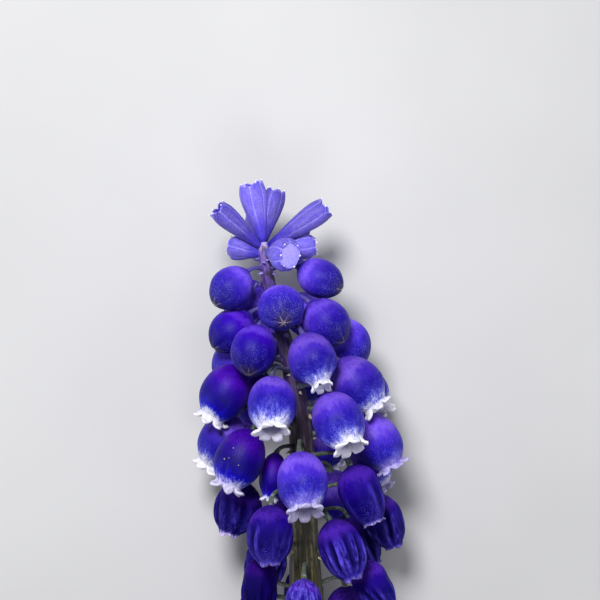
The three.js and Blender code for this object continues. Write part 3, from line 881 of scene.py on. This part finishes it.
# The sterile florets at the tip. root and mouth: x, y, and the height over the stalk's centre; closed: how
# far the mouth is still shut; tone: brighter or darker, partly painted light and shade.
tuftFlorets = (
    dict(root=(-3.4, 31.7, 0.1), mouth=(-7.7, 35.4, 1.2), width=2.2, tone=-1.6),
    dict(root=(-3.3, 32.2, 0.2), mouth=(-4.5, 37.8, 0.9), width=2.5, tone=1.8),
    dict(root=(-3.2, 32.2, -0.1), mouth=(-2.1, 37.2, -0.4), width=2.1, tone=-1),
    dict(root=(-2.9, 31.8, 0.1), mouth=(2.8, 35.6, 0.6), width=2.4, tone=-0.6),
    dict(root=(-3.4, 31.1, -0.1), mouth=(-6.6, 32, -0.9), width=2.3, tone=0.2, closed=0.2, lobes=0.6),
    dict(root=(-2.9, 31.3, 0.3), mouth=(-0.7, 30.9, 3.9), width=2.9, tone=0.4, closed=0.14, lobes=0.7,
         white=1),
    dict(root=(-2.8, 31.3, -0.1), mouth=(1.8, 31.9, -0.5), width=2.1, tone=1.2, closed=0.2, lobes=0.6),
    dict(root=(-3, 31.2, -0.2), mouth=(0.2, 30.8, -2), width=1.9),
    dict(root=(-3.2, 31.6, -0.4), mouth=(-4.3, 34.9, -3.2), width=2),
    dict(root=(-3, 31.6, -0.4), mouth=(0.8, 33.2, -2.8), width=2),
    dict(root=(-3.3, 31.2, -0.4), mouth=(-3.9, 31.8, -4.6), width=2.1),
)
tuft = {"upper": (0.3, 0.4, 1), "seed": 400}  # upper: the way that one lobe of each floret faces


def tuftPlace(n, row):
    base = Vector((0, 0, flower["lyingHeight"]))
    root, mouth = Vector(row["root"]) + base, Vector(row["mouth"]) + base
    axis = (mouth - root).normalized()
    return {"white": 0, "tone": -1, **row, "n": n, "kind": "sterile", "seed": n + tuft["seed"],
            "root": root, "axis": axis, "length": (mouth - root).length,
            "turned": turnedTo(axis, Vector(tuft["upper"]))}


def buildFlorets(places, node):
    for i, f in enumerate(places):
        obj = buildFloret(f"{f['kind']}_{i + 1:02d}", sources[f["kind"]], f)
        dress(obj, looks[f["kind"]], node)
    print(node, "florets", len(places))


# The small things on the flower; radii are in millimetres, and spread is what they are drawn times.
beads = {"radius": 0.085, "spread": (0.6, 1.15), "standOut": 0.3, "seed": 60,
         "ramp": ((0.3, (206, 200, 240)), (0.7, (244, 242, 250)))}
pollen = {"radius": 0.04, "spread": (0.8, 1.5), "searched": 0.35,
          "spots": ((18, -6.65, 13.5), (18, -6.4, 13.3), (18, -5.6, 12.5), (18, -5.9, 14.4), (16, 3.3, 18.6))}
scales = {
    "size": (0.24, 0.143, 0.7), "spread": (0.75, 1.25), "seed": 44,  # half width, half thickness, length
    "crown": ((-3.75, 30.75, 8.7, -60), (-3.3, 30.5, 8.9, 10), (-2.95, 30.6, 8.6, 60)),  # x, y, z and turn
    "crownRadius": 0.2, "crownSize": 0.8,
    "cream": ((0.25, (140, 132, 104)), (0.5, (184, 176, 142)), (0.75, (212, 206, 182))),
    "lilac": ((0.25, (92, 84, 160)), (0.5, (134, 124, 196)), (0.75, (170, 160, 214))),
    "lilacFrom": (22, 33),  # towards the tip
}
spur = {"line": (((-3.87, 28.5, 8.6), 0.14), ((-4.4, 27.6, 8.9), 0.13), ((-5.1, 26.55, 8.9), 0.17)),
        "roundness": 4}


def beadMaterial():
    s = Shader("whiteBead", specular=0.5, glow=0.2, glowScale=mm * 0.3)
    cloud = s.noise(s.mark("grain", True), 5)
    return s.finish(s.ramp(cloud, beads["ramp"]), s.range(cloud, 0.3, 0.7, 0.35, 0.5), cloud, 0.01, 0.4)


def scaleMaterial():
    s = Shader("paleScale", specular=0.3)
    grain = s.mark("grain", True)
    lines = s.noise(grain, 3, 4, 0.6)
    lilac = s.range(s.height(grain), *scales["lilacFrom"])
    colour = s.mix(lilac, s.ramp(lines, scales["cream"]), s.ramp(lines, scales["lilac"]))
    return s.finish(colour, s.range(lines, 0.3, 0.7, 0.5, 0.65), lines, 0.05, 0.5)


def joinAs(name, parts):
    selectOnly(*parts)
    bpy.ops.object.join()
    obj = bpy.context.object
    obj.name = obj.data.name = name
    writeMark(obj, "grain", readPoints(obj) / mm)
    return obj


def buildBeads(tuftPlaces, places, pollenLook):
    # a bead at the tip of every lobe of the tuft, and a few grains of pollen on two bells
    selectOnly()
    bpy.ops.mesh.primitive_ico_sphere_add(subdivisions=2, radius=1)
    ball = bpy.context.object
    bpy.ops.object.shade_smooth()
    sphere = readPoints(ball)
    draw = random.Random(beads["seed"])
    made = []
    for f in tuftPlaces:
        for tip in lobeTips(sources["sterile"], f["placed"]):
            size = beads["radius"] * draw.uniform(*beads["spread"])
            out = np.array(f["axis"]) * size * beads["standOut"]
            made.append(copyTo(ball, "bead", tip + sphere * size + out))
    dress(joinAs("tuftBeads", made), beadMaterial(), "sterile_tuft")
    made = []
    for n, x, y in pollen["spots"]:
        skin = next(f for f in places if f["n"] == n)["placed"]
        near = skin[np.hypot(skin[:, 0] - x, skin[:, 1] - y) < pollen["searched"]]
        size = pollen["radius"] * draw.uniform(*pollen["spread"])
        made.append(copyTo(ball, "grain", near[near[:, 2].argmax()] + sphere * size))
    bpy.data.objects.remove(ball)
    dress(joinAs("pollen", made), pollenLook, "raceme")


def scalePattern():
    # a pointed scale, hollow towards the stalk
    selectOnly()
    bpy.ops.mesh.primitive_cone_add(vertices=10, radius1=0.7, radius2=0.12, depth=1)
    cone = bpy.context.object
    bpy.ops.object.mode_set(mode="EDIT")
    bpy.ops.mesh.select_all(action="SELECT")
    bpy.ops.mesh.subdivide(number_cuts=2)
    bpy.ops.object.mode_set(mode="OBJECT")
    smoothOnce(cone)
    co = readPoints(cone) + (0, 0, 0.5)
    co[:, :2] *= (1 + 0.75 * bump(co[:, 2], 0.45, 0.3))[:, None]
    co[:, 1] += 0.9 * co[:, 0] ** 2 - 0.5 * co[:, 2] ** 2
    return cone, co * scales["size"]


def buildScales(places, look):
    # one at the foot of every floret stalk, and a few under the tuft
    cone, co = scalePattern()
    draw = random.Random(scales["seed"])
    spots = []
    for f in places:
        y = floretStalkFoot(f)
        away = f["root"] - stalkAt(y)
        away.y = 0
        spots.append((stalkAt(y - 0.3), away.normalized(), stalkRadius(y), draw.uniform(*scales["spread"])))
    for *at, turn in scales["crown"]:
        away, radius = roundStalk(turn), scales["crownRadius"]
        spots.append((Vector(at) - away * radius, away, radius, scales["crownSize"]))
    made = []
    for centre, away, radius, size in spots:
        up = (away * 0.75 + Vector((draw.uniform(-0.3, 0.3), draw.uniform(-0.9, 0.2), 0))).normalized()
        turned = np.array(turnedTo(up, up.cross(Vector((0, 1, 0)))))
        foot = np.array(centre + away * (radius - 0.12))
        made.append(copyTo(cone, "scale", (co * size) @ turned.T + foot))
    bpy.data.objects.remove(cone)
    dress(joinAs("scales", made), look, "raceme")


def buildSpur(look):
    # the crumbled scale that stands off the upper stalk
    run = [(Vector(at), radius) for at, radius in spur["line"]]
    dressStalks(tubeAlong("spur", [run], spur["roundness"]), look, 1)


studio = {
    "camera": (0.0542, 33.0659, 158), "lens": 100, "sensor": 36,
    "lights": (  # name, place, width and power
        ("key", (-25, 95, 145), 50, 0.31), ("fill", (14, -50, 140), 60, 0.045),
        ("leftEdge", (-130, 10, 40), 70, 0.06), ("rightEdge", (130, 10, 45), 70, 0.06)),
    "lightsFace": (0, 20, 8),
    "world": 0.06, "worldColour": (0.9, 0.95, 1, 1),
    "floor": ((0.3, (190, 190, 192)), (0.7, (196, 196, 198))),
}


def floorMaterial():
    s = Shader("paleFloor", specular=0.15)
    place = s.node("ShaderNodeTexCoord").outputs["Object"]
    colour = s.ramp(s.noise(place, 30), studio["floor"])
    return s.finish(colour, 0.8, s.noise(place, 2500, 2), 0.02, 0.15)


def areaLight(name, place, size, power):
    selectOnly()
    at = Vector(place) * mm
    bpy.ops.object.light_add(type="AREA", location=at)
    lamp = bpy.context.object
    lamp.name = name
    lamp.data.shape = "DISK"
    lamp.data.size = size * mm
    lamp.data.energy = power
    lamp.rotation_euler = (Vector(studio["lightsFace"]) * mm - at).to_track_quat("-Z", "Y").to_euler()


def buildStudio():
    selectOnly()
    bpy.ops.mesh.primitive_plane_add(size=2, location=(0, 0, 0))
    floor = bpy.context.object
    floor.name = "floor"
    floor.data.materials.append(floorMaterial())
    for light in studio["lights"]:
        areaLight(*light)
    scene = bpy.context.scene
    scene.world = bpy.data.worlds.new("studio")
    scene.world.use_nodes = True
    background = scene.world.node_tree.nodes["Background"].inputs
    background["Color"].default_value = studio["worldColour"]
    background["Strength"].default_value = studio["world"]
    bpy.ops.object.camera_add(location=Vector(studio["camera"]) * mm, rotation=(0, 0, 0))
    camera = bpy.context.object
    camera.data.lens = studio["lens"]
    camera.data.sensor_width = studio["sensor"]
    camera.data.clip_start = mm
    scene.camera = camera
    scene.view_settings.view_transform = "Standard"


sources = {kind: pattern(kind) for kind in forms}
looks = {kind: petalMaterial(kind) for kind in petals}
print("patterns and petal materials made")

numbers = sorted([*range(spiral["first"], spiral["last"] + 1), *spiral["squeezedIn"]])
floretPlaces = [floretPlace(n) for n in numbers]
tuftPlaces = [tuftPlace(n, row) for n, row in enumerate(tuftFlorets)]
buildFlorets(floretPlaces, "raceme")
buildFlorets(tuftPlaces, "sterile_tuft")

scaleLook, floretStalkLook = scaleMaterial(), floretStalkMaterial()
buildBeads(tuftPlaces, floretPlaces, scaleLook)
buildScales(floretPlaces, scaleLook)
buildSpur(floretStalkLook)
for source in sources.values():
    bpy.data.objects.remove(source)
print("beads, pollen, scales and spur made")

buildStalk()
buildFloretStalks(floretPlaces, floretStalkLook)
print("stalk and floret stalks made")

buildStudio()
